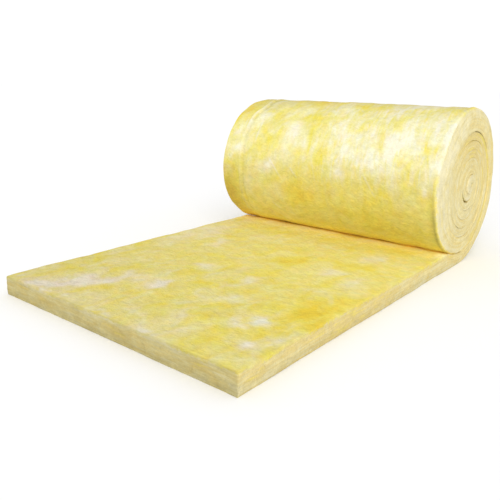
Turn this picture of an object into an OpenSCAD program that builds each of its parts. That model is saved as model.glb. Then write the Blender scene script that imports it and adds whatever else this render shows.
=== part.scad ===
// A roll of unfaced glass wool, partly rolled out on the floor.
// X runs across the blanket, Y along it from the free end to the roll, and Z is up.
// The origin is on the floor, in the middle of the whole part's footprint.

/* [Blanket] */
// Width of the blanket, which is also the roll's length
blanket_width = 1200; // [600:50:1600]
// Thickness of the blanket where it lies free
blanket_thickness = 80; // [60:5:110]
// Length that lies flat, from the free end to the roll's floor line
flat_length = 1621; // [900:1:3000]

/* [Roll] */
// Height of the roll from the floor to its top
roll_height = 726; // [600:2:900]
// Depth of the roll from its front to its back
roll_depth = 722; // [600:2:900]
// How far the lower back bulges out, where the roll sags
roll_sag = 12; // [0:1:24]
// Thickness of the blanket under the roll, which presses it
pressed_thickness = 52; // [30:1:64]
// Depth of the gap under the outer lap, at the top of the roll
outer_lap = 110; // [90:2:136]
// Thickness that each inner turn keeps, wound tight
turn_pitch = 40; // [32:1:48]
// Distance from the core's middle to the blanket's inner end
core_radius = 53; // [40:1:80]
// How far behind the roll's middle its core lies
core_set_back = 38; // [0:2:60]
// How far above the roll's middle its core lies
core_lift = 6; // [0:1:20]

/* [Gap between the turns, on the ends] */
// Width of the gap between two turns
gap_width = 5; // [3:0.5:8]
// Width of the open gap where the outer lap stands off the turn under it
open_gap_width = 14; // [8:1:24]
// Width of the open gap next to the core
core_gap_width = 12; // [8:1:18]
// Depth of the gaps from the end face
gap_depth = 15; // [5:1:40]

/* [Hidden] */

// Places along the winding are counted in turns from where the blanket leaves
// the floor: 0 is straight down, 0.25 the back, 0.5 the top and 0.75 the front.
steps_a_turn = 72;
top = 0.5;
front = 0.75;
first_dip = 0.72;                 // here the outer lap's surface starts to turn in
top_of_second_lap = 1.5;          // from here on the turns lie at the inner pitch
open_gap = [1.34, 1.45, 1.58];    // start, widest place and end of the outer lap's open gap
core_gap = [-0.78, -0.6, -0.4];   // the same by the core, counted back from the inner end

turns = top_of_second_lap + (roll_height / 2 - outer_lap - core_radius) / turn_pitch;
back = max([for (n = steps(0, top)) face_point(n)[0]]);
floor_line_y = (flat_length - back) / 2;   // puts the origin in the footprint's middle

function clamp01(t) = max(0, min(1, t));
function smooth(t) = clamp01(t) * clamp01(t) * (3 - 2 * clamp01(t));
function blend(from, to, t) = from + (to - from) * smooth(t);

// Depth of the blanket's outer surface under the roll's outline, at n turns.
function depth(n) =
    n < 1 ? blend(0, pressed_thickness, (n - first_dip) / (1 - first_dip)) :
    n < top_of_second_lap ? blend(pressed_thickness, outer_lap, (n - 1) / (top_of_second_lap - 1)) :
    outer_lap + turn_pitch * (n - top_of_second_lap);

// The point at n turns that lies d under the roll's outline, as [y, z] from its floor line.
function winding_point(n, d) =
    let (
        angle = 360 * n,
        inward = d / (roll_height / 2),
        sag = roll_sag * (1 - inward) * max(0, sin(angle)) * sin(2 * angle),
        middle = [core_set_back, core_lift] * inward + [sag, roll_height / 2]
    )
    middle + [roll_depth * sin(angle), -roll_height * cos(angle)] / 2 * (1 - inward);

function face_point(n) = winding_point(n, depth(n));

// The last step before the outer lap comes down onto the flat stretch.
function crease(n) =
    face_point(n + 1 / steps_a_turn)[1] < blanket_thickness ? n : crease(n + 1 / steps_a_turn);

function meet(above, below) =
    above + (below - above) * (above[1] - blanket_thickness) / (above[1] - below[1]);

// 1 at the middle of a stretch given as [start, widest, end], and 0 outside it.
function swell(n, stretch) =
    n < stretch[1] ? smooth((n - stretch[0]) / (stretch[1] - stretch[0])) :
    smooth((stretch[2] - n) / (stretch[2] - stretch[1]));

function gap_width_at(n) =
    gap_width + (open_gap_width - gap_width) * swell(n, open_gap)
    + (core_gap_width - gap_width) * swell(n - turns, core_gap);

function steps(from, to) = [for (i = [0 : round((to - from) * steps_a_turn)]) from + i / steps_a_turn];

// Outline from the side: round the back, the top and the front to the crease,
// then along the flat stretch to the free end and back on the floor.
module blanket_outline() {
    last = crease(front);
    polygon([
        for (n = steps(0, last)) face_point(n),
        meet(face_point(last), face_point(last + 1 / steps_a_turn)),
        [-flat_length, blanket_thickness],
        [-flat_length, 0]
    ]);
}

// The spiral gap between the turns, as a band along the winding from the crease inwards.
module gap_outline() {
    route = steps(crease(front), turns);
    outer_side = [for (n = route) winding_point(n, depth(n) - gap_width_at(n) / 2)];
    inner_side = [for (n = route) winding_point(n, depth(n) + gap_width_at(n) / 2)];
    polygon(concat(outer_side, [for (i = [len(route) - 1 : -1 : 0]) inner_side[i]]));
}

// Pulls an outline in the Y-Z plane out along X, from x = from over the given length.
module across(from, length) {
    translate([from, floor_line_y, 0])
        rotate([90, 0, 90])
            linear_extrude(height = length)
                children();
}

module glass_wool_blanket() {
    over = 1;
    color("khaki")
        difference() {
            across(-blanket_width / 2, blanket_width)
                blanket_outline();
            across(-blanket_width / 2 - over, gap_depth + over)
                gap_outline();
            across(blanket_width / 2 - gap_depth, gap_depth + over)
                gap_outline();
        }
}

glass_wool_blanket();
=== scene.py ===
# %% [markdown]
# # A roll of glass wool, partly rolled out
#
# The object is one long blanket of yellow glass wool. Most of it is wound into a roll,
# and its outer length lies flat on the floor. There is nothing else: no facing, no core
# and no strap. So the lesson models one soft piece, and most of the work goes into the
# way it is wound, its cut edges and the mottled, fibrous look of the wool.
#
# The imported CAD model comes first. Its box says where the blanket is, and the piece that
# is modelled here takes the place of the plain CAD solid.

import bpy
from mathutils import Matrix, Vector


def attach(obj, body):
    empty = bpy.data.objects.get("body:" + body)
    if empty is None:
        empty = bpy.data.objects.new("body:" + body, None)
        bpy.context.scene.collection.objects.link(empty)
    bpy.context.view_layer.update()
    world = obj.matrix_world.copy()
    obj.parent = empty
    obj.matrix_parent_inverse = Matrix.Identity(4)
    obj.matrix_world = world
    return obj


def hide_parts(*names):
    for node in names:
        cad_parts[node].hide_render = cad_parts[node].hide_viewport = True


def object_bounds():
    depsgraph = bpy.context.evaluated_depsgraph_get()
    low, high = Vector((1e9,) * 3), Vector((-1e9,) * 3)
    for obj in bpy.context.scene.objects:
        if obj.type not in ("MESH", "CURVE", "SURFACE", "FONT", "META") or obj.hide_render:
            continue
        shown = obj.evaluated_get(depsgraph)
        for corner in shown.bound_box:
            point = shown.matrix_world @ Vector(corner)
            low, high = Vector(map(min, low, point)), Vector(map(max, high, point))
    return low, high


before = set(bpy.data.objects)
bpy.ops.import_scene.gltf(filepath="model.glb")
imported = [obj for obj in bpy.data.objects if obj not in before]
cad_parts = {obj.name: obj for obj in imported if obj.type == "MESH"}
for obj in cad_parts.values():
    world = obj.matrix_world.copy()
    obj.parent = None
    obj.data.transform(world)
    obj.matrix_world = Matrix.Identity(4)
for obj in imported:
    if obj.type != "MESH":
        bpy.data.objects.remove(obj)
cad_low, cad_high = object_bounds()
blanket_width, total_length, roll_height = cad_high - cad_low
print("The packed model measures", [round(side, 3) for side in (blanket_width, total_length, roll_height)])

# %% The modules that the lesson uses
import math

import bmesh
import bpy
import numpy as np
from mathutils import Matrix

rng = np.random.default_rng(7)

# %% [markdown]
# ## Camera
#
# The camera comes early, so that every later step can be judged through it. It stands to
# the right of the flat length and looks down a little. A camera can be turned with three
# angles, but here a matrix is clearer: turn to the left about the vertical, tip down, and
# lean by less than a degree.

# %% Camera
flat_length = 1.621
floor_line_y = cad_low.y + flat_length      # where the blanket leaves the floor, under the roll
camera_offset = (1.492, -2.669, 0.817)      # from the floor line's middle
camera_turn, camera_dip, camera_lean = math.radians(39.26), math.radians(16.21), math.radians(0.81)
focal_length = 41.48                        # in millimetres, on a sensor 36 mm wide

bpy.ops.object.select_all(action="DESELECT")
bpy.ops.object.camera_add()
camera = bpy.context.object
camera.name = "camera"
camera.data.lens = focal_length
camera.matrix_world = (
    Matrix.Translation((camera_offset[0], floor_line_y + camera_offset[1], camera_offset[2]))
    @ Matrix.Rotation(camera_turn, 4, "Z")
    @ Matrix.Rotation(math.pi / 2 - camera_dip, 4, "X")
    @ Matrix.Rotation(camera_lean, 4, "Z")
)
bpy.context.scene.camera = camera
print("Camera at", [round(value, 3) for value in camera.matrix_world.translation])

# %% [markdown]
# ## How the blanket is wound
#
# A place along the winding is counted in turns: 0 is under the roll, where the blanket
# leaves the floor, 0.25 is the back, 0.5 the top, 0.75 the front, and from 1 on it lies
# inside its own outer lap. The outer lap is loose, because nothing holds it, and the
# turns inside stay wound tight. A spiral curve with a Curve modifier could bend a strip
# like this, but it can't press one lap thinner than another, so the winding is written
# as a formula for how deep each turn lies.

# %% Sizes of the winding
roll_depth = 0.722
roll_sag = 0.012            # how far the lower back bulges out
blanket_thickness = 0.080
pressed_thickness = 0.052   # thickness of the blanket under the roll
outer_lap = 0.110           # depth of the second lap under the outline, at the top
turn_pitch = 0.040          # from there on, from one turn to the next
core_set_back = 0.038       # the core lies behind the roll's middle
core_lift = 0.006           # and a little above it
first_dip = 0.72            # in turns: here the outer lap starts to turn in
top_of_second_lap = 1.5     # in turns
inner_end = 7.12            # in turns: the last of them fill the core


# %% Helpers for soft steps
def smooth(t):
    """Goes from 0 to 1 as t does, with a soft start and a soft end."""
    t = np.clip(t, 0, 1)
    return t * t * (3 - 2 * t)


def rise(value, start, end):
    """0 up to start, 1 from end on, and a soft slope between them."""
    return smooth((value - start) / (end - start))


def fall(value, start, end):
    """1 up to start, 0 from end on, and a soft slope between them."""
    return 1 - rise(value, start, end)


# %% The depth of each turn
def depth(n):
    """How deep the blanket's outer face lies under the roll's outline, at n turns."""
    pressed = pressed_thickness * rise(n, first_dip, 1)
    loose = pressed_thickness + (outer_lap - pressed_thickness) * rise(n, 1, top_of_second_lap)
    wound = outer_lap + turn_pitch * (n - top_of_second_lap)
    return np.where(n < 1, pressed, np.where(n < top_of_second_lap, loose, wound))


def winding_point(n, deep):
    """(y, z) of the place at n turns that lies this deep under the roll's outline."""
    angle = 2 * np.pi * n
    inward = deep / (roll_height / 2)
    sag = roll_sag * (1 - inward) * np.maximum(0, np.sin(angle)) * np.sin(2 * angle)
    y = floor_line_y + core_set_back * inward + sag + roll_depth / 2 * (1 - inward) * np.sin(angle)
    z = roll_height / 2 + core_lift * inward - roll_height / 2 * (1 - inward) * np.cos(angle)
    return y, z


# %% From a place along the blanket to turns, and back
turn_steps = np.linspace(0, inner_end, 4000)
face_y, face_z = winding_point(turn_steps, depth(turn_steps))
wound_length = np.concatenate([[0], np.cumsum(np.hypot(np.diff(face_y), np.diff(face_z)))])
blanket_length = flat_length + wound_length[-1]


def turns_at(along):
    return np.interp(along - flat_length, wound_length, turn_steps)


def along_at(turns):
    return flat_length + np.interp(turns, turn_steps, wound_length)


print("The blanket is", round(blanket_length, 2), "m long")

# %% [markdown]
# Between two laps there is a gap. It is a hair wide where the wool is wound tight. It opens
# low on the back, where the outer lap stands off the next one, at two places further in,
# and by the core.

# %% The gap between two laps
closed_gap = 0.0004
gap_begins = (0.86, 0.92)   # in turns: here the outer lap comes down on the flat length
open_gaps = [               # start, widest place and end, in turns, and the width there
    (1.05, 1.10, 1.15, 0.005),
    (1.24, 1.40, 1.56, 0.003),
    (2.36, 2.46, 2.58, 0.002),
    (2.74, 2.88, 3.02, 0.003),
    (5.70, 5.90, 6.10, 0.012),
]


def gap(n):
    """Width of the gap outside the blanket's outer face, at n turns."""
    width = closed_gap * rise(n, *gap_begins)
    for start, widest, end, opening in open_gaps:
        swell = np.minimum(rise(n, start, widest), fall(n, widest, end))
        width = width + (opening - closed_gap) * swell
    return width


# %% How thick the blanket may be
clear_of_the_middle = 0.001
no_limit = 1.0              # more than any room there is


def lap_thickness(n):
    """Room for the blanket at n turns: to the next lap, or inside the last lap to the middle."""
    to_the_next = depth(n + 1) - depth(n) - gap(n + 1) / 2 - gap(n) / 2
    to_the_middle = roll_height / 2 - depth(n) - gap(n) / 2 - clear_of_the_middle
    in_the_last_lap = rise(n, inner_end - 1, inner_end - 0.96)
    return np.minimum(to_the_next + no_limit * in_the_last_lap, to_the_middle)


for turns in (0, 0.25, 0.5, 0.75, 1.5, 6):
    print(f"At {turns} turns the blanket is {1000 * float(lap_thickness(np.array(turns))):.0f} mm thick")

# %% [markdown]
# ## A flat blanket to start from
#
# The blanket is made flat and as long as it really is, and rolled up at the very end, as
# in the factory. A cube gives the six faces. Subdividing only the edges that run one way
# cuts it into rows, the way a loop cut would. The rows are needed along the whole length,
# because the turns bend there, but columns across the width only where a face will show:
# on top of the flat length, on its free end and on the outside of the outer lap.

# %% A cube as large as the blanket
bpy.ops.object.select_all(action="DESELECT")
bpy.ops.mesh.primitive_cube_add(size=1, location=(0, blanket_length / 2, blanket_thickness / 2))
blanket = bpy.context.object
blanket.name = "wool_blanket"
blanket.scale = (blanket_width, blanket_length, blanket_thickness)
bpy.ops.object.transform_apply(location=True, rotation=True, scale=True)
print("The flat blanket measures", [round(side, 3) for side in blanket.dimensions])


# %% Helpers that select edges by their place and direction
nearly = 0.99               # share of an edge's length that has to run the right way


def select_edges(wanted):
    """Selects the edges for which wanted(middle, direction) is true."""
    bpy.ops.mesh.select_mode(type="EDGE")
    bpy.ops.mesh.select_all(action="DESELECT")
    mesh = bmesh.from_edit_mesh(bpy.context.object.data)
    for edge in mesh.edges:
        first, second = (vertex.co for vertex in edge.verts)
        edge.select = wanted((first + second) / 2, (second - first).normalized())
    mesh.select_flush_mode()
    bmesh.update_edit_mesh(bpy.context.object.data)


def runs_along(middle, direction):
    return abs(direction.y) > nearly


def runs_through(middle, direction):
    return abs(direction.z) > nearly


# %% Rows along the blanket, and layers through its cut edges
row_count = 900
layer_count = 14

bpy.ops.object.mode_set(mode="EDIT")
select_edges(runs_along)
bpy.ops.mesh.subdivide(number_cuts=row_count // 10 - 1)     # ninety rows first
select_edges(runs_along)
bpy.ops.mesh.subdivide(number_cuts=9)                       # and each of them into ten
select_edges(runs_through)
bpy.ops.mesh.subdivide(number_cuts=layer_count - 1)
bpy.ops.object.mode_set(mode="OBJECT")
print("Rows and layers make", len(blanket.data.polygons), "faces")

# %% [markdown]
# The rows came out evenly spaced. They are slid along now, closer together at the free
# end, where the corner has to be round, and further apart in the inner turns. The layers
# are slid towards the two faces, for their corners. `np.interp` slides them without
# changing their order.

# %% Helpers that read and write all points at once
def vertex_places(piece):
    places = np.empty(len(piece.data.vertices) * 3, np.float32)
    piece.data.vertices.foreach_get("co", places)
    return places.reshape(-1, 3).astype(float)


def set_vertex_places(piece, places):
    piece.data.vertices.foreach_set("co", places.astype(np.float32).ravel())
    piece.data.update()


# %% Slide the rows and layers to where they are needed
crease_place = 1.45         # along: here the roll comes down on the flat length
end_of_outer_lap = float(along_at(1.0))
start_of_core = float(along_at(5.7))

row_marks = np.array([0, 8, 158, 170, 420, 820, 900]) / row_count
row_places = [0, 0.030, crease_place, flat_length, end_of_outer_lap, start_of_core, blanket_length]
layer_marks = np.array([0, 2, 12, 14]) / layer_count
layer_places = [0, 0.007, blanket_thickness - 0.007, blanket_thickness]

places = vertex_places(blanket)
places[:, 1] = np.interp(places[:, 1] / blanket_length, row_marks, row_places)
places[:, 2] = np.interp(places[:, 2] / blanket_thickness, layer_marks, layer_places)
set_vertex_places(blanket, places)
print("The first rows are", round(1000 * row_places[1] / 8, 1), "mm long")

# %% [markdown]
# Near each cut edge a few columns run right round the blanket, to shape the corners.
# Bisect cuts through everything that is selected, as a knife would. The middle gets its
# columns only on the faces that show, by subdividing the edges that run across them.

# %% Columns: a few near each cut edge, and many on the faces that show
edge_columns = [0.0015, 0.0035, 0.007, 0.013, 0.022, 0.032, 0.042]
middle_columns = 110
middle_half = blanket_width / 2 - edge_columns[-1]
hidden_from = crease_place + 0.02           # past this the roll covers the flat length
shown_end = float(along_at(0.95))           # past this the outer lap is hidden
on_it = 0.001                               # this near to a face counts as on it


def on_a_shown_face(middle, direction):
    """True for an edge that runs across the middle of a face that shows."""
    if abs(direction.x) < nearly or abs(middle.x) > middle_half:
        return False
    if middle.y < flat_length:
        on_top = middle.z > blanket_thickness - on_it
        return middle.y < hidden_from and on_top or middle.y < on_it
    return middle.z < on_it and middle.y < shown_end


bpy.ops.object.mode_set(mode="EDIT")
for side in (-1, 1):
    for inset in edge_columns:
        bpy.ops.mesh.select_all(action="SELECT")
        bpy.ops.mesh.bisect(plane_co=(side * (blanket_width / 2 - inset), 0, 0), plane_no=(1, 0, 0))
select_edges(on_a_shown_face)
bpy.ops.mesh.subdivide(number_cuts=9)
select_edges(on_a_shown_face)
bpy.ops.mesh.subdivide(number_cuts=middle_columns // 10 - 1)
bpy.ops.object.mode_set(mode="OBJECT")
print("With its columns the blanket has", len(blanket.data.polygons), "faces")

# %% [markdown]
# A fold runs round the roll near its left end. It is about as narrow as two columns, so
# the columns are slid together there.

# %% Slide the columns towards the fold
fold_x = -0.487
beside_the_fold = 0.030
column_marks = np.array([0, 6, 18, middle_columns]) / middle_columns
column_places = [-middle_half, fold_x - beside_the_fold, fold_x + beside_the_fold, middle_half]

places = vertex_places(blanket)
inside = np.abs(places[:, 0]) < middle_half
share = (places[inside, 0] + middle_half) / (2 * middle_half)
places[inside, 0] = np.interp(share, column_marks, column_places)
set_vertex_places(blanket, places)
print("At the fold the columns are", round(1000 * 2 * beside_the_fold / 12, 1), "mm wide")

# %% [markdown]
# ## Remember the flat place of every point
#
# Wool looks the same wherever it ends up, so its colours have to follow the blanket round
# the turns. The flat place of each point is stored in an attribute now, before anything
# bends, and the material reads that instead of Object coordinates.

# %% Store the flat place
def store_vectors(piece, name, values):
    attribute = piece.data.attributes.new(name, "FLOAT_VECTOR", "POINT")
    attribute.data.foreach_set("vector", values.astype(np.float32).ravel())


def store_values(piece, name, values):
    attribute = piece.data.attributes.new(name, "FLOAT", "POINT")
    attribute.data.foreach_set("value", values.astype(np.float32))
    print(f"{name} runs from {values.min():.2f} to {values.max():.2f}")


flat = vertex_places(blanket)
store_vectors(blanket, "wool_place", flat)
across, along, through = flat.T
turns = turns_at(along)
on_flat_length = along < flat_length
print("Points on the flat length:", int(on_flat_length.sum()), "of", len(flat))

# %% [markdown]
# ## Round the edges and corners
#
# A blade cuts the blanket square, and the fibres then swell a little, so the corners end
# up softly round. A Bevel modifier would add its own faces and disturb the rows. Pulling
# each point onto a ball that rolls inside the box rounds every edge and corner, and keeps
# them. The way a point then looks also says which face or cut edge it is on.

# %% Round the cut edges
outer_corner = 0.012        # radius on the outside of the outer lap
flat_corner = 0.006         # on the flat length
close_corner = 0.0025       # where another lap lies against it
core_corner = 0.001         # in the turns that fill the core


def between(value, stops):
    """Straight lines between stops, each given as a value and the level there."""
    marks, levels = zip(*stops)
    return np.interp(value, marks, levels)


on_lower_half = through < blanket_thickness / 2
on_outer_lap = (turns > 0.05) & (turns < 1)
corner_radius = between(
    turns, [(0.95, flat_corner), (1.05, close_corner), (6.0, close_corner), (6.1, core_corner)])
rounder_above = between(through / blanket_thickness, [(0.1, -0.003), (0.9, 0.002)])
corner_radius += rounder_above * fall(along, 0.10, 0.20)
lap_corner = np.where(on_lower_half, outer_corner, close_corner)
corner_radius = np.where(on_outer_lap, lap_corner, corner_radius)[:, None]
lowest = np.array([-blanket_width / 2, 0, 0]) + corner_radius
highest = np.array([blanket_width / 2, blanket_length, blanket_thickness]) - corner_radius
centre = np.clip(flat, lowest, highest)
outward = flat - centre
outward /= np.linalg.norm(outward, axis=1, keepdims=True)
places = centre + corner_radius * outward

face_up = np.clip(outward[:, 2], 0, 1)
face_down = np.clip(-outward[:, 2], 0, 1)
free_end = np.clip(-outward[:, 1], 0, 1)
store_values(blanket, "free_end", free_end)
print("Points on cut edges:", int((np.abs(outward[:, 2]) < 0.5).sum()), "of", len(places))

# %% [markdown]
# The cut wool is paler than the faces, but the border between them isn't a line: fibres of
# the one colour lie over the other. So the attribute `cut_edge` says how far a point lies
# past the corner, from -1 on the faces to 1 on the cut, and the material frays that border.
# Adding to it brings the pale colour over the corner: right over where the laps lie close
# together, and less far on the back and where a gap is open. Taking from it lets the yellow
# come over the corner, as along the top of the flat length and on the front of the roll.

# %% Store how far each point lies past the corner
border_width = 0.030
right_over = 0.8            # shift of the border between laps that lie close together
by_a_gap = 0.1              # and where the gap is open
outer_shifts = [            # turns, and the shift on the outer face there
    (0.05, 0.3), (0.10, 0.45), (0.45, 0.45), (0.52, -0.1), (0.97, -0.08), (1.00, right_over),
    (1.06, by_a_gap), (1.52, by_a_gap), (1.58, right_over), (5.65, right_over),
    (5.75, by_a_gap), (6.00, by_a_gap), (6.10, right_over),
]
inner_shifts = [(0.08, right_over), (0.14, 0.3), (0.52, 0.3), (0.58, right_over)]
top_shift = -0.25           # on top of the flat length, as far as it shows

from_the_cut = np.minimum(blanket_width / 2 - np.abs(across), along)
from_a_face = np.minimum(through, blanket_thickness - through)
past_corner = np.clip((from_a_face - from_the_cut) / border_width, -1, 1)
inner_shift = between(turns, inner_shifts)
flat_shift = top_shift + (right_over - top_shift) * rise(along, 1.44, 1.50)
upper_shift = np.where(on_flat_length, flat_shift, inner_shift)
shift_here = np.where(on_lower_half, between(turns, outer_shifts), upper_shift)
past_corner += shift_here * fall(from_the_cut, 0.025, 0.060)
store_values(blanket, "cut_edge", past_corner)

# %% [markdown]
# ## Smooth random values
#
# Wool is uneven in every way, so the next steps all need random values that change
# smoothly from place to place. `lumps` keeps a table of random numbers, one for each cell
# of a grid, and blends between them. Scaling the place first gives long or flat lumps.

# %% A helper for smooth random values
grid_cells = 32
lattice = rng.uniform(-1, 1, (grid_cells, grid_cells, grid_cells))


def lumps(x, y, z=0.0, shift=0):
    """Smooth values from -1 to 1 that change over one unit."""
    x, y, z = np.broadcast_arrays(x, y, z)
    cells = [np.floor(axis).astype(int) for axis in (x, y, z)]
    shares = [smooth(axis - cell) for axis, cell in zip((x, y, z), cells)]
    total = np.zeros(x.shape)
    for corner in np.ndindex(2, 2, 2):
        weight = np.ones(x.shape)
        for step, part in zip(corner, shares):
            weight = weight * (part if step else 1 - part)
        i, j, k = ((cell + step + shift) % grid_cells for cell, step in zip(cells, corner))
        total += weight * lattice[i, j, k]
    return total


# %% [markdown]
# ## Pale and golden patches
#
# The wool is mottled: patches with little resin are nearly white, and patches with much
# resin are golden. Noise alone would scatter them anywhere, so the largest ones are placed
# one by one, as soft spots, in an attribute. Round spots would look like stains, so lumps push
# their borders in and out, and the material's own noise frays them further.

# %% Helpers for soft patches
def bead(distance, width):
    """1 where the distance is 0, about a third at this width, and soon nothing."""
    return np.exp(-(distance / width) ** 2)


def ragged(values, shift):
    """The same places, pushed a little aside by coarse and by fine lumps."""
    coarse = lumps(across / 0.07, along / 0.07, shift=shift)
    fine = lumps(across / 0.03, along / 0.03, shift=shift + 2)
    return values + 0.030 * coarse + 0.014 * fine


ragged_x = ragged(across, shift=4)
ragged_along = ragged(along, shift=8)


def spots(patches):
    """Sum of the patches, each fading over its half width and its half length."""
    total = np.zeros(len(across))
    for middle_x, middle_along, half_width, half_length, strength in patches:
        fade_across = bead(ragged_x - middle_x, half_width)
        fade_along = bead(ragged_along - middle_along, half_length)
        total += strength * fade_across * fade_along
    return total


def lap_spots(patches):
    """The same for patches on the wound part, whose place along is given in turns."""
    return spots([(x, float(along_at(n)), *rest) for x, n, *rest in patches]) * ~on_flat_length


print("Borders are pushed aside by up to", round(1000 * float(np.abs(ragged_x - across).max())), "mm")

# %% Patches on the flat length
flat_patches = [            # across, along from the free end, half width, half length, paleness
    (-0.44, 0.02, 0.05, 0.05, 1.0), (-0.4, 0.07, 0.05, 0.05, 1.0), (-0.36, 0.11, 0.05, 0.05, 1.0),
    (-0.32, 0.155, 0.05, 0.05, 1.0), (-0.28, 0.2, 0.045, 0.045, 0.9), (-0.24, 0.24, 0.045, 0.045, 0.9),
    (-0.22, 0.31, 0.045, 0.045, 1.3), (-0.08, 0.32, 0.065, 0.04, 1.4), (0.12, 0.05, 0.08, 0.05, 0.5),
    (0.24, 0.12, 0.07, 0.05, 0.6), (0.4, 0.235, 0.045, 0.035, 1.6), (0.42, 0.315, 0.055, 0.035, 1.7),
    (0.49, 0.155, 0.055, 0.027, 1.7), (0.21, 0.4, 0.03, 0.045, 1.0), (0.14, 0.58, 0.03, 0.055, 1.0),
    (-0.1, 0.6, 0.05, 0.04, 1.3), (-0.31, 0.94, 0.045, 0.06, 1.0), (-0.5, 1.02, 0.09, 0.23, 0.8),
    (0.35, 0.88, 0.05, 0.05, 0.9), (0.48, 0.83, 0.035, 0.06, 1.0), (0.39, 1.15, 0.05, 0.07, 1.1),
    (-0.45, 0.6, 0.05, 0.05, 0.4), (-0.2, 1.12, 0.06, 0.08, 0.4), (0.12, 0.92, 0.08, 0.06, -0.8),
    (-0.1, 0.73, 0.07, 0.06, -0.6), (0.53, 0.5, 0.07, 0.1, -1.0), (0.56, 0.4, 0.04, 0.06, -0.7),
    (0.5, 0.3, 0.04, 0.04, -0.6), (0.1, 1.36, 0.12, 0.09, -0.4), (0.4, 1.34, 0.13, 0.08, -0.3),
    (0.42, 1.01, 0.06, 0.04, -0.7), (-0.33, 1.02, 0.06, 0.05, -0.5), (-0.33, 0.4, 0.06, 0.05, -0.5),
    (0.5, 0.05, 0.06, 0.04, 0.3), (0.2, 0.68, 0.08, 0.06, -0.3), (-0.33, 0.012, 0.05, 0.012, 0.9),
    (-0.02, 0.012, 0.06, 0.012, 1.0), (0.24, 0.01, 0.05, 0.012, 0.8), (0.57, 0.06, 0.025, 0.05, 0.9),
    (0.57, 0.2, 0.025, 0.05, 0.8), (-0.46, 0.03, 0.07, 0.03, 0.5), (-0.36, 0.05, 0.08, 0.045, 0.5),
    (-0.22, 0.03, 0.08, 0.03, 0.4), (-0.25, 1.3, 0.13, 0.06, -0.5), (0.05, 0.45, 0.06, 0.05, -0.3),
    (-0.52, 0.42, 0.06, 0.06, -0.3),
]
paleness_and_painted_light = spots(flat_patches) * on_flat_length
print(len(flat_patches), "patches on the flat length")

# %% Patches on the outer lap
lap_patches = [             # across, turns, half width, half length, paleness
    (-0.43, 0.6, 0.045, 0.065, 1.4), (-0.53, 0.645, 0.035, 0.035, 1.0), (-0.51, 0.685, 0.04, 0.04, 1.2),
    (-0.2, 0.655, 0.055, 0.11, 1.0), (-0.08, 0.67, 0.03, 0.03, 0.6), (0.1, 0.65, 0.08, 0.11, 1.0),
    (0.3, 0.685, 0.12, 0.09, 1.0), (0.42, 0.64, 0.1, 0.12, 1.0), (0.26, 0.58, 0.04, 0.07, 0.7),
    (-0.3, 0.725, 0.08, 0.05, 0.9), (-0.28, 0.785, 0.07, 0.05, 0.5), (0.08, 0.77, 0.05, 0.05, 0.6),
    (0.22, 0.725, 0.03, 0.04, 0.6), (0.55, 0.73, 0.03, 0.05, 0.6), (-0.45, 0.785, 0.04, 0.06, 0.4),
    (0.00, 0.545, 0.05, 0.07, 0.4), (0.32, 0.53, 0.12, 0.07, 0.8), (0.46, 0.76, 0.04, 0.05, 0.3),
    (0.54, 0.59, 0.04, 0.1, 0.5), (-0.4, 0.52, 0.1, 0.04, 0.6), (-0.28, 0.6, 0.03, 0.05, 0.5),
    (0.45, 0.515, 0.1, 0.05, 0.9), (-0.58, 0.585, 0.04, 0.09, -1.2), (-0.16, 0.545, 0.07, 0.06, -0.7),
    (-0.1, 0.62, 0.06, 0.07, -0.5), (-0.33, 0.612, 0.05, 0.045, -0.5),
    (-0.33, 0.672, 0.06, 0.035, -0.5), (0.29, 0.655, 0.025, 0.05, -0.8), (0.42, 0.69, 0.03, 0.03, -0.6),
    (-0.1, 0.78, 0.11, 0.07, -0.6), (0.3, 0.83, 0.14, 0.1, -0.4),
]
paleness_and_painted_light += lap_spots(lap_patches)
print(len(lap_patches), "patches on the outer lap")

# %% [markdown]
# Whole stretches differ too, and these are mostly painted light and shade. The upper front
# of the roll is painted paler than the rest, a painted highlight that is strongest along its
# right rim, and the lower front and its left edge are painted deeper, as painted shade. Where
# the roll comes down on the flat length, the wool in front of it is painted paler, as painted
# light against the crease's shadow, and the roll's own face and the wool right in the crease
# are painted deeper, as painted shade.

# %% Paler and deeper stretches: painted highlight and painted shade
right_edge_at = blanket_width / 2
upper_front = np.minimum(rise(turns, 0.50, 0.60), fall(turns, 0.68, 0.76))
lower_front = np.minimum(rise(turns, 0.72, 0.80), fall(turns, 0.98, 1.0))
near_the_rim = bead(right_edge_at - across, 0.050)
left_edge_painted_shade = fall(across, -0.58, -0.44) * rise(turns, 0.71, 0.80) * (turns < 1)
before_the_crease = 0.6 * rise(along, 1.33, 1.43)
above_the_crease = rise(turns, 0.86, 0.91) * (turns < 1)
by_the_crease = np.where(on_flat_length, before_the_crease, above_the_crease)

# Painted highlight on the upper front and its right rim; painted shade on the lower front and the left
# edge.
paleness_and_painted_light += (0.34 + 1.00 * near_the_rim) * upper_front - 0.18 * lower_front - 0.75 * left_edge_painted_shade
# By the crease: painted light on the flat length, painted shade on the roll's face.
paleness_and_painted_light += by_the_crease * np.where(on_flat_length, 0.75, -0.65)
# Painted shade right in the crease.
paleness_and_painted_light -= 1.2 * on_flat_length * rise(along, 1.445, 1.465)
paleness_and_painted_light -= 0.2 * across / blanket_width * on_flat_length
paleness_and_painted_light += 0.12 * fall(along, 0.10, 0.50)
print("Points on the upper front of the roll:", int((upper_front > 0.5).sum()))

# %% [markdown]
# Three more attributes steer the material. `contrast` is how strong the mottling is: it
# grows towards the free end, and is weak low on the front of the roll. `wisps` brings out
# the long wisps that lie round the top and front, mostly on the right. The third moves the
# hue from green to tan: some of that tan is the wool's own, in patches, and some is painted
# shade, strongest in the crease and on the roll's low left edge.

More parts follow.
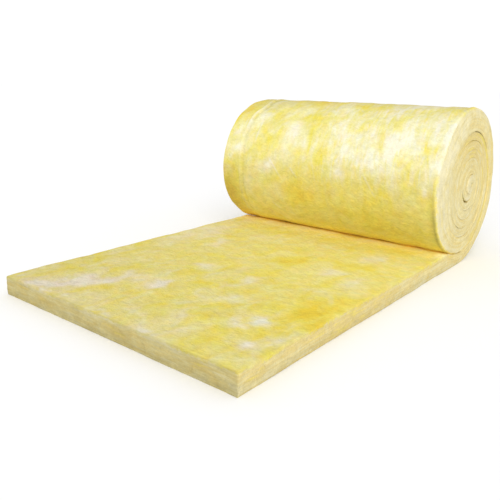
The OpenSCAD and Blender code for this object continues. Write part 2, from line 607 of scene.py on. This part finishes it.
# %% Contrast, wisps and warmth
tan_patches = [             # across, turns, half width, half length, warmth
    (-0.15, 0.53, 0.07, 0.045, 0.35), (-0.57, 0.575, 0.04, 0.07, 0.35), (-0.1, 0.77, 0.11, 0.06, 0.2),
    (-0.3, 0.85, 0.12, 0.06, 0.15),
]
flat_contrast = 0.38 + 0.22 * fall(along, 0.35, 0.85)
lap_contrast = 0.56 - 0.32 * lower_front
store_values(blanket, "contrast", np.where(on_flat_length, flat_contrast, lap_contrast))

round_the_front = np.minimum(rise(turns, 0.47, 0.53), fall(turns, 0.70, 0.80))
store_values(blanket, "wisps", round_the_front * (0.35 + 0.65 * rise(across, -0.2, 0.1)))

in_the_crease = np.where(on_flat_length, rise(along, 1.44, 1.46), rise(turns, 0.905, 0.92) * (turns < 1))
pale_on_the_left = np.clip(paleness_and_painted_light, 0, 1.5) * fall(across, -0.15, 0.15) * on_flat_length
# The tan on the low left edge and in the crease is painted shade; the tan patches are the wool's own.
warmth_and_painted_shade = 0.30 * left_edge_painted_shade + lap_spots(tan_patches) + 0.14 * pale_on_the_left
warmth_and_painted_shade += 0.4 * in_the_crease - 0.12 * upper_front
store_values(blanket, "warmth_and_painted_shade", warmth_and_painted_shade)

# %% [markdown]
# Where the outer lap goes round the roll, a fold stands up near its left end, with a groove
# on its right. It wanders a little, and is sharpest just past the top. Its ridge is painted
# paler than the wool around it, a painted highlight, and its groove a little deeper, painted
# shade. The same ridge and groove shape the mesh later.

# %% Where the fold runs round the outer lap
fold_course = [             # turns, and across there
    (0.53, -0.490), (0.57, -0.477), (0.60, -0.496), (0.67, -0.491),
    (0.74, -0.474), (0.80, -0.480), (0.90, -0.490),
]
fold_strengths = [          # turns, and how clear the fold is there
    (0.44, 0.0), (0.52, 0.9), (0.57, 1.0), (0.62, 0.4), (0.67, 0.3),
    (0.72, 0.5), (0.80, 0.7), (0.86, 0.5), (0.93, 0.0),
]
from_the_fold = across - between(turns, fold_course)
fold_ridge = bead(from_the_fold, 0.007)
fold_groove = bead(from_the_fold - 0.018, 0.008)
fold_strength = between(turns, fold_strengths)

# Painted highlight on the fold's ridge, painted shade in its groove.
paleness_and_painted_light += fold_strength * (0.50 * fold_ridge - 0.15 * fold_groove)
# Stored paleness: the wool's own pale and golden patches, plus painted highlight and painted shade.
store_values(blanket, "paleness_and_painted_light", paleness_and_painted_light)

# %% [markdown]
# Light gets into wool and comes out again beside where it went in, so a crease in it is
# lighter than one in a solid surface. Instead of simulating that, an attribute of painted
# light and shade lifts the wool beside the crease. It also paints shade on the top of the
# roll and its lower front, a little, and on the low left edge, beside the right rim low on
# the front, in the fold's groove and low on the flat length's cut edges, paints light on
# the fold's ridge, and goes over to the painted light of the cut wool at the corner.

# %% Painted light and painted shade
# Painted shade below 1, painted light above 1: the top of the roll and its lower front are shaded, the
# wool beside the crease is lit.
lap_painted_levels = [              # turns, and the brightness of the face there
    (0.25, 0.95), (0.40, 0.85), (0.46, 0.76), (0.49, 0.81), (0.53, 0.91), (0.58, 0.94),
    (0.69, 0.91), (0.74, 0.81), (0.80, 0.82), (0.85, 0.88), (0.90, 1.12), (0.95, 1.32),
]
# Painted light and shade at the fold: its ridge a little lighter high up and darker low on the front, its
# groove darker.
fold_painted_light = (0.05 - 0.14 * lower_front) * fold_ridge - 0.12 * fold_groove
lap_painted_light = between(turns, lap_painted_levels)
lap_painted_light += 0.05 * paleness_and_painted_light * upper_front + fold_strength * fold_painted_light
# More painted shade: on the left of the roll's top, and towards the right low on the front.
lap_painted_light -= 0.06 * fall(across, -0.45, -0.30) * fall(turns, 0.56, 0.62)
lap_painted_light -= 0.15 * across / blanket_width * rise(turns, 0.76, 0.86)
# On the flat length the painted light grows towards the roll, towards the right and beside the crease.
flat_painted_light = 1.01 + 0.18 * (along / flat_length - 0.5) + 0.12 * across / blanket_width
flat_painted_light += 0.44 * by_the_crease
face_painted_light = np.where(on_flat_length, flat_painted_light, lap_painted_light)

# Painted shade low on the flat length's cut edges and on the free end, painted light on the cut edge of
# the upper front.
low_on_the_edge = fall(through, 0.01, 0.05)
cut_painted_light = 1 + 0.04 * upper_front - on_flat_length * (0.02 + 0.11 * low_on_the_edge)
cut_painted_light -= 0.02 * free_end

on_a_face = fall(past_corner, -0.6, 0)
# Painted shade on the face beside the right rim low on the front, and on the low left edge.
rim_painted_shade = lower_front * on_a_face * bead(right_edge_at - across - 0.004, 0.014)
painted_light = cut_painted_light + (face_painted_light - cut_painted_light) * on_a_face
painted_light -= 0.24 * left_edge_painted_shade * face_down + 0.50 * rim_painted_shade
store_values(blanket, "painted_light", painted_light)

# %% [markdown]
# The cut edges have patches too, but those follow the turns: a stretch of one turn is
# whiter, and the next is more golden. Beside the open gap the outer half of the second
# lap is yellow, the top of the free end is pale, and the middle of the flat length's edge
# is more golden than its ends.

# %% Patches on the cut edges
end_patches = [             # turns, half length in turns, paleness
    (0.70, 0.16, 1.3), (0.22, 0.16, -0.4), (1.50, 0.12, -1.3), (2.22, 0.10, -1.0), (1.80, 0.10, 0.6),
    (2.52, 0.14, -1.1), (3.52, 0.16, -0.9), (3.95, 0.14, 0.7), (4.95, 0.16, 0.7), (6.00, 0.10, 1.0),
    (7.00, 0.45, 1.3), (5.55, 0.15, -0.5), (4.55, 0.16, -0.3),
]
cut_paleness = 0.3 + sum(strength * bead(turns - middle, half) for middle, half, strength in end_patches)
cut_paleness *= ~on_flat_length
cut_paleness -= 2.0 * rise(turns, 1.03, 1.08) * fall(turns, 1.40, 1.48) * fall(through, 0.020, 0.042)
cut_paleness += 1.6 * free_end * rise(through, 0.050, 0.075)
cut_paleness -= 1.0 * on_flat_length * bead(along - 0.68, 0.24)
store_values(blanket, "cut_paleness", cut_paleness)

# %% [markdown]
# ## Lumps, layers and folds
#
# Glass wool is never quite even. Large, middling and small lumps together raise and lower
# its faces, but not where it lies on the floor. They are weaker between two laps. Even so,
# a lap reaches into the next one by up to 1.3 mm in places, inside the roll.

# %% Lumps on the two faces
relief = (
    0.0030 * lumps(across / 0.24, along / 0.22, shift=3)
    + 0.0022 * lumps(across / 0.09, along / 0.10, shift=11)
    + 0.0014 * lumps(across / 0.035, along / 0.042, shift=17)
)
off_the_floor = rise(along, flat_length, flat_length + 0.15)
pressed_flat = 0.3          # share of the relief that is left where one lap presses on the next
up_share = np.where(on_flat_length, 1, pressed_flat)
down_share = np.where(turns < 1, off_the_floor, pressed_flat)
places[:, 2] += (face_up * up_share - face_down * down_share) * relief
print("The lumps rise by up to", round(1000 * float(relief.max()), 1), "mm")

# %% [markdown]
# On the cut edges the wool shows its layers. The same random values give them, scaled to be
# long along the blanket and thin through it. They are sunk in by a millimetre, so that
# only the highest stand out past the blanket's width.

# %% Layers on the cut edges
side_layers = (
    0.0016 * lumps(along / 0.16, through / 0.011, shift=5)
    + 0.0012 * lumps(along / 0.05, through / 0.007, shift=9)
    + 0.0016 * lumps(along / 0.11, through / 0.06, shift=21)
)
end_layers = (
    0.0022 * lumps(across / 0.16, through / 0.012, shift=7)
    + 0.0016 * lumps(across / 0.06, through / 0.03, shift=2)
)
side_layers -= 0.0010
end_layers -= 0.0012
places[:, 0] += outward[:, 0] * side_layers
places[:, 1] -= free_end * end_layers
print("The layers stand out by up to", round(1000 * float(side_layers.max()), 1), "mm")

# %% [markdown]
# The turns are wound a little out of line, so each end of the roll is not flat: the second
# lap and the turns inside it lie a few millimetres behind the outer one, and the core comes
# forward again.

# %% Set the inner turns back from the ends
behind = np.minimum(rise(turns, 0.98, 1.18), fall(turns, 1.45, 1.95))
inner = rise(turns, 1.3, 1.9)
wander = lumps(along / 0.35, 0.5, shift=13)
set_back = 0.003 * behind + inner * (0.0030 + 0.0015 * wander) - 0.006 * rise(turns, 6.2, 6.6)
places[:, 0] *= 1 - set_back / (blanket_width / 2)
print("Turns lie up to", round(1000 * float(set_back.max()), 1), "mm behind the outer lap")

# %% [markdown]
# The fold is the one that was coloured before. The right rim of the outer lap swells a
# little too, with a shallow groove beside it.

# %% The fold and the rim of the outer lap
outer_face = face_down * rise(turns, 0.08, 0.18) * fall(turns, 0.98, 1.0)
fold = (0.0050 * fold_ridge - 0.0060 * fold_groove) * (0.8 + 0.2 * lumps(along / 0.15, 8.5))
rim = 0.0012 * bead(right_edge_at - across - 0.013, 0.012)
rim -= 0.0010 * bead(right_edge_at - across - 0.034, 0.014)
places[:, 2] -= outer_face * (fold * fold_strength + rim)
print("The fold stands up by", round(1000 * float((fold * fold_strength).max()), 1), "mm")

# %% [markdown]
# ## Roll it up
#
# Every point now has a place across, along and through the blanket. On the flat length
# that is already where it belongs, once it is moved to the free end, except under the
# roll, where the wool is pressed down. The rest goes round the winding: the place along
# gives the turns, and the place through gives the depth.

# %% The flat length, pressed down under the roll
lap_steps = np.linspace(0.80, 1.0, 200)
lap_y, lap_z = winding_point(lap_steps, depth(lap_steps) + gap(lap_steps) / 2)


def room_above_floor(y):
    """Thickness that the flat length has room for at y, under the front of the roll."""
    under_the_roll = np.interp(y, lap_y, lap_z - gap(lap_steps), left=no_limit)
    return np.minimum(blanket_thickness, under_the_roll)


room_under_the_roll = float(room_above_floor(floor_line_y))
print("Under the roll the blanket is", round(1000 * room_under_the_roll), "mm thick")

# %% Put every point in its place
across, along, through = places.T
turns = turns_at(along)
flat_y = cad_low.y + along
thickness_now = np.where(on_flat_length, room_above_floor(flat_y), lap_thickness(turns))
scaled_through = through / blanket_thickness * thickness_now
rolled_y, rolled_z = winding_point(turns, depth(turns) + gap(turns) / 2 + scaled_through)
rolled = np.column_stack([
    across,
    np.where(on_flat_length, flat_y, rolled_y),
    np.maximum(np.where(on_flat_length, scaled_through, rolled_z), 0),
])
set_vertex_places(blanket, rolled)
bpy.ops.object.select_all(action="DESELECT")
blanket.select_set(True)
bpy.context.view_layer.objects.active = blanket
bpy.ops.object.mode_set(mode="EDIT")
bpy.ops.mesh.select_all(action="SELECT")
bpy.ops.mesh.normals_make_consistent(inside=False)
bpy.ops.object.mode_set(mode="OBJECT")
bpy.ops.object.shade_smooth()
print("Rolled up, the blanket spans", [round(float(side), 3) for side in np.ptp(rolled, axis=0)])

# %% [markdown]
# ## The wool's material
#
# Resin colours the fibres yellow, and where it lies thin the wool shows white. Both are
# about as bright, so the mottling is a change from pale to deep yellow, and hardly one
# from light to dark. All patterns read the stored flat place, so they bend with the wool.

# %% Helpers that add nodes and link what goes into them
def add_node(tree, kind, inputs=None, **settings):
    """A new node: inputs are linked if they are sockets, and set if they are values."""
    made = tree.nodes.new(kind)
    for name, value in settings.items():
        setattr(made, name, value)
    for name, value in (inputs or {}).items():
        if isinstance(value, bpy.types.NodeSocket):
            tree.links.new(value, made.inputs[name])
        else:
            made.inputs[name].default_value = value
    return made


def attribute(tree, name, output="Fac"):
    return add_node(tree, "ShaderNodeAttribute", attribute_name=name).outputs[output]


def math_node(tree, operation, first, second):
    return add_node(tree, "ShaderNodeMath", {0: first, 1: second}, operation=operation).outputs[0]


def product(tree, first, second):
    return math_node(tree, "MULTIPLY", first, second)


def add_up(tree, *values):
    total = values[0]
    for value in values[1:]:
        total = math_node(tree, "ADD", total, value)
    return total


def around_zero(tree, value, strength):
    """Noise from 0 to 1, turned into values from -strength / 2 to strength / 2."""
    return product(tree, math_node(tree, "SUBTRACT", value, 0.5), strength)


# %% Helpers for noise, soft steps and colours
def wool_noise(
        tree, place, size, stretch=(1, 1, 1), detail=3.0, roughness=0.55,
        distortion=0.0, turn=0.0, shift=0.0):
    """Noise whose lumps are this size in metres, drawn out by stretch along axes turned by turn."""
    placed = add_node(
        tree, "ShaderNodeMapping",
        {"Vector": place, "Scale": stretch, "Location": (shift, shift, 0), "Rotation": (0, 0, turn)},
        vector_type="TEXTURE",
    )
    noise = add_node(
        tree, "ShaderNodeTexNoise",
        {"Vector": placed.outputs["Vector"], "Scale": 1 / size, "Detail": detail,
         "Roughness": roughness, "Distortion": distortion},
    )
    return noise.outputs["Fac"]


def ramp(tree, value, low, high):
    """0 below low, 1 above high, and a soft step between them."""
    made = add_node(
        tree, "ShaderNodeMapRange",
        {"Value": value, "From Min": low, "From Max": high},
        interpolation_type="SMOOTHSTEP",
    )
    return made.outputs["Result"]


def colour_ramp(tree, value, stops):
    made = add_node(tree, "ShaderNodeValToRGB", {"Fac": value})
    elements = made.color_ramp.elements
    while len(elements) < len(stops):
        elements.new(1.0)
    for element, (position, colour) in zip(elements, stops):
        element.position = position
        element.color = (*colour, 1)
    return made.outputs["Color"]


def mix_colours(tree, share, first, second, blend_type="MIX"):
    made = add_node(tree, "ShaderNodeMix", {"Factor": share}, data_type="RGBA", blend_type=blend_type)
    for index, value in ((6, first), (7, second)):      # the node's two colour inputs
        if isinstance(value, bpy.types.NodeSocket):
            tree.links.new(value, made.inputs[index])
        else:
            made.inputs[index].default_value = (*value, 1)
    return made.outputs[2]


# %% Colours of the wool, from rich in resin to bare fibre
deep_gold = (0.770, 0.580, 0.055)
lemon = (0.775, 0.650, 0.120)
soft_yellow = (0.770, 0.672, 0.235)
pale_yellow = (0.775, 0.697, 0.375)
bare_wool = (0.790, 0.745, 0.580)
face_stops = [(0.0, deep_gold), (0.28, lemon), (0.50, soft_yellow), (0.72, pale_yellow), (1.0, bare_wool)]

cut_gold = (0.745, 0.620, 0.170)
cut_peach = (0.715, 0.575, 0.240)
cut_cream = (0.728, 0.630, 0.310)
cut_white = (0.760, 0.690, 0.440)
cut_stops = [(0.0, cut_gold), (0.30, cut_peach), (0.60, cut_cream), (1.0, cut_white)]
# Painted shade for the free end, multiplied into its colour.
free_end_painted_shade = (0.64, 0.635, 0.575)

green_tint = (0.955, 1.00, 0.990)
warm_tint = (1.00, 0.950, 0.930)
tan_tint = (1.00, 0.860, 0.900)
tint_stops = [(0.32, green_tint), (0.68, warm_tint), (1.0, tan_tint)]
print(len(face_stops), "colours for the faces and", len(cut_stops), "for the cut edges")

# %% [markdown]
# Where the outer lap was bent round, its skin has creased in a few thin, slanting lines.
# They are narrower than the mesh's faces, so the material draws them: a Mapping node turns
# the flat place so that it runs along the line, and soft steps fade it out at the sides.

# %% A thin crease from one place on the blanket to another
crease_width = 0.009
lap_creases = [             # across and turns, where each starts and ends
    ((0.230, 0.712), (0.328, 0.772)),
    ((-0.310, 0.702), (-0.195, 0.758)),
    ((-0.165, 0.722), (-0.105, 0.748)),
    ((-0.290, 0.812), (-0.235, 0.838)),
    ((-0.410, 0.610), (-0.398, 0.690)),
    ((-0.487, 0.540), (-0.492, 0.640)),
]
crease_ends = [tuple((x, float(along_at(n))) for x, n in ends) for ends in lap_creases]


def crease_line(tree, place, start, end):
    """1 in the middle of the line, fading to 0 at its sides and ends."""
    length = math.dist(start, end)
    turn = math.atan2(end[1] - start[1], end[0] - start[0])
    placed = add_node(
        tree, "ShaderNodeMapping", {"Vector": place, "Location": (*start, 0), "Rotation": (0, 0, turn)},
        vector_type="TEXTURE",
    )
    parts = add_node(tree, "ShaderNodeSeparateXYZ", {"Vector": placed.outputs["Vector"]})
    aside = ramp(tree, math_node(tree, "ABSOLUTE", parts.outputs["Y"], 0.0), crease_width, 0.0)
    from_the_middle = math_node(tree, "SUBTRACT", parts.outputs["X"], length / 2)
    off_the_middle = math_node(tree, "ABSOLUTE", from_the_middle, 0.0)
    return product(tree, aside, ramp(tree, off_the_middle, length / 2, length / 4))


for start, end in crease_ends:
    print("A crease", round(1000 * math.dist(start, end)), "mm long")

# %% [markdown]
# The colour of the faces is picked from a ramp. Blotches and two sets of crossing streaks
# are its mottling, and the stored attributes say how strong that is and which places are
# pale, some by the wool's own patches and some by painted highlight and painted shade.
# A second noise tints the result a little green in one place and tan in another, because
# the resin doesn't have quite the same hue everywhere, and the stored tan adds painted
# shade in the crease and on the roll's low left edge.

# %% Colour of the faces
def face_colour(tree, place, creases):
    blotches = wool_noise(tree, place, 0.090, (1, 1.3, 3), detail=3, roughness=0.48, distortion=0.8)
    streaks = wool_noise(
        tree, place, 0.014, (5, 1, 3), detail=2, roughness=0.5, distortion=1.0, turn=-0.9)
    crossing = wool_noise(
        tree, place, 0.018, (3, 1, 3), detail=2, roughness=0.5, distortion=1.5, turn=0.5, shift=3.0)
    mottling = add_up(
        tree,
        around_zero(tree, blotches, 1.9),
        around_zero(tree, streaks, 0.30),
        around_zero(tree, crossing, 0.22),
    )
    long_wisps = wool_noise(
        tree, place, 0.030, (1, 4.5, 3), detail=3, roughness=0.5, distortion=1.4, turn=-0.15, shift=9.0)
    tone = add_up(
        tree, 0.44,
        product(tree, around_zero(tree, long_wisps, 1.0), attribute(tree, "wisps")),
        product(tree, mottling, attribute(tree, "contrast")),
        product(tree, attribute(tree, "paleness_and_painted_light"), 0.34),
        product(tree, creases, 0.20),
    )
    hue = wool_noise(
        tree, place, 0.050, (1, 1.2, 2), detail=3, roughness=0.55, distortion=0.8, shift=12.0)
    hue = math_node(tree, "ADD", hue, attribute(tree, "warmth_and_painted_shade"))
    tint = colour_ramp(tree, hue, tint_stops)
    return mix_colours(tree, 1.0, colour_ramp(tree, tone, face_stops), tint, "MULTIPLY")


# %% [markdown]
# The cut edges show the ends of the fibres, in layers that are thin and long. So their
# noise is drawn out along the blanket and not through it. Clouds break the layers up, and
# the wool is paler towards its lower face, which is the outside of the roll.

# %% Colour of the cut edges
def cut_colour(tree, place):
    layers = wool_noise(tree, place, 0.008, (16, 40, 1), detail=4, roughness=0.65, distortion=0.3)
    clouds = wool_noise(
        tree, place, 0.045, (2, 2, 1), detail=5, roughness=0.65, distortion=0.8, shift=5.0)
    height = add_node(tree, "ShaderNodeSeparateXYZ", {"Vector": place}).outputs["Z"]
    tone = add_up(
        tree, 0.60,
        around_zero(tree, layers, 1.5),
        around_zero(tree, clouds, 1.5),
        product(tree, height, -2.5),
        product(tree, attribute(tree, "cut_paleness"), 0.25),
    )
    return colour_ramp(tree, tone, cut_stops)


# %% [markdown]
# The material puts the two together. Noise frays the border between face and cut edge.
# Small shadows between the fibres are too fine for the mesh and too deep for bump alone,
# so a grey unevenness of painted shade is multiplied into the colour, together with the
# stored painted light and shade, and the bump follows the same noise.
# Wool scatters light in all directions: it is rough, has hardly any shine and a faint sheen.

# %% Glass wool
def wool_material():
    material = bpy.data.materials.new("glass_wool")
    material.use_nodes = True
    tree = material.node_tree
    shader = tree.nodes["Principled BSDF"]
    place = attribute(tree, "wool_place", "Vector")

    creases = add_up(tree, *(crease_line(tree, place, start, end) for start, end in crease_ends))
    fray = wool_noise(tree, place, 0.012, (2, 2, 1), detail=3, roughness=0.6, distortion=1.0, shift=7.0)
    frayed = add_up(tree, attribute(tree, "cut_edge"), around_zero(tree, fray, 1.6))
    cut_share = ramp(tree, frayed, -0.25, 0.25)
    colour = mix_colours(tree, cut_share, face_colour(tree, place, creases), cut_colour(tree, place))
    # The free end gets painted shade: its colour is multiplied darker.
    colour = mix_colours(tree, attribute(tree, "free_end"), colour, free_end_painted_shade, "MULTIPLY")

    grain = wool_noise(tree, place, 0.009, (3, 1, 1), detail=3, roughness=0.6, distortion=1.5, turn=0.3)
    small_lumps = wool_noise(
        tree, place, 0.030, (1.5, 1, 1), detail=4, roughness=0.6, distortion=0.6, turn=-0.4)
    cut_streaks = wool_noise(
        tree, place, 0.006, (10, 14, 1), detail=3, roughness=0.6, distortion=0.5, shift=4.0)
    unevenness = add_up(
        tree,
        around_zero(tree, grain, 0.40),
        around_zero(tree, small_lumps, 0.30),
        product(tree, around_zero(tree, cut_streaks, 0.40), cut_share),
    )
    # Painted light and painted shade, multiplied into the colour as grey.
    shade = add_up(tree, attribute(tree, "painted_light"), unevenness, 0.015)
    grey = add_node(tree, "ShaderNodeCombineXYZ", {"X": shade, "Y": shade, "Z": shade}).outputs["Vector"]
    colour = mix_colours(tree, 1.0, colour, grey, "MULTIPLY")
    tree.links.new(colour, shader.inputs["Base Color"])

    height = add_up(tree, product(tree, grain, 0.30), small_lumps, product(tree, creases, 0.14))
    bump = add_node(tree, "ShaderNodeBump", {"Height": height, "Strength": 0.8, "Distance": 0.008})
    tree.links.new(bump.outputs["Normal"], shader.inputs["Normal"])

    shader.inputs["Roughness"].default_value = 0.95
    shader.inputs["Specular IOR Level"].default_value = 0.05
    shader.inputs["Sheen Weight"].default_value = 0.03
    shader.inputs["Sheen Roughness"].default_value = 0.6
    print("The wool's material has", len(tree.nodes), "nodes")
    return material


blanket.data.materials.clear()
blanket.data.materials.append(wool_material())

# %% [markdown]
# ## Floor and light
#
# A white floor and a white world give even light from all sides. A lamp far off to the
# right of the front makes the upper front of the roll the brightest part. It is a sun with
# a wide angle, because its light doesn't fall off along the blanket and its shadows are soft.

# %% Floor
def plain_material(name, colour):
    material = bpy.data.materials.new(name)
    material.use_nodes = True
    shader = material.node_tree.nodes["Principled BSDF"]
    shader.inputs["Base Color"].default_value = (*colour, 1)
    shader.inputs["Roughness"].default_value = 0.9
    return material


bpy.ops.object.select_all(action="DESELECT")
bpy.ops.mesh.primitive_plane_add(size=200, location=(0, 0, 0))
floor = bpy.context.object
floor.name = "floor"
floor.data.materials.append(plain_material("floor", (0.98, 0.98, 0.98)))
print("The floor measures", [round(side) for side in floor.dimensions])

# %% [markdown]
# The world is seen brighter than it shines: a Light Path node adds to its strength for
# rays that come straight from the camera. So it looks as white as the floor, and doesn't
# wash out the wool.

# %% World
world_strength = 0.80
world_seen = 1.1

world = bpy.data.worlds.new("studio")
bpy.context.scene.world = world
world.use_nodes = True
background = world.node_tree.nodes["Background"]
background.inputs["Color"].default_value = (1, 1, 1, 1)
from_camera = add_node(world.node_tree, "ShaderNodeLightPath").outputs["Is Camera Ray"]
seen_more = product(world.node_tree, from_camera, world_seen - world_strength)
strength = math_node(world.node_tree, "ADD", seen_more, world_strength)
world.node_tree.links.new(strength, background.inputs["Strength"])
print("The world shines at", world_strength, "and is seen at", world_seen)

# %% [markdown]
# The key lamp stands on the right, well above the floor, and a low fill, nearly in front,
# reaches into the crease. The Standard view keeps the yellow as it is, where a filmic one
# would dull it.

# %% Lamps
def far_lamp(name, turn, height, spread, strength):
    """A sun, this many degrees to the right of the front and above the floor."""
    bpy.ops.object.light_add(type="SUN", rotation=(math.radians(90 - height), 0, math.radians(turn)))
    lamp = bpy.context.object
    lamp.name = name
    lamp.data.angle = math.radians(spread)
    lamp.data.energy = strength
    print(f"{name} shines at {strength}")


far_lamp("key", turn=38, height=34, spread=50, strength=1.20)
far_lamp("low_fill", turn=15, height=8, spread=24, strength=0.80)
bpy.context.scene.view_settings.view_transform = "Standard"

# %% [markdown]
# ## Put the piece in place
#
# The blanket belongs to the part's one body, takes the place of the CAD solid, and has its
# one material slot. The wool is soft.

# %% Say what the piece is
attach(blanket, "root")
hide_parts("glass_wool_blanket")
print("Handed over:", blanket.name)

# %% [markdown]
# The core at the sides, the layers at the free end, the lumps at the back and the fold at the
# top carry this model up to 5 mm further out than the imported one.

# %% Count the triangles and finish
print("Triangles:", sum(len(face.vertices) - 2 for face in blanket.data.polygons))
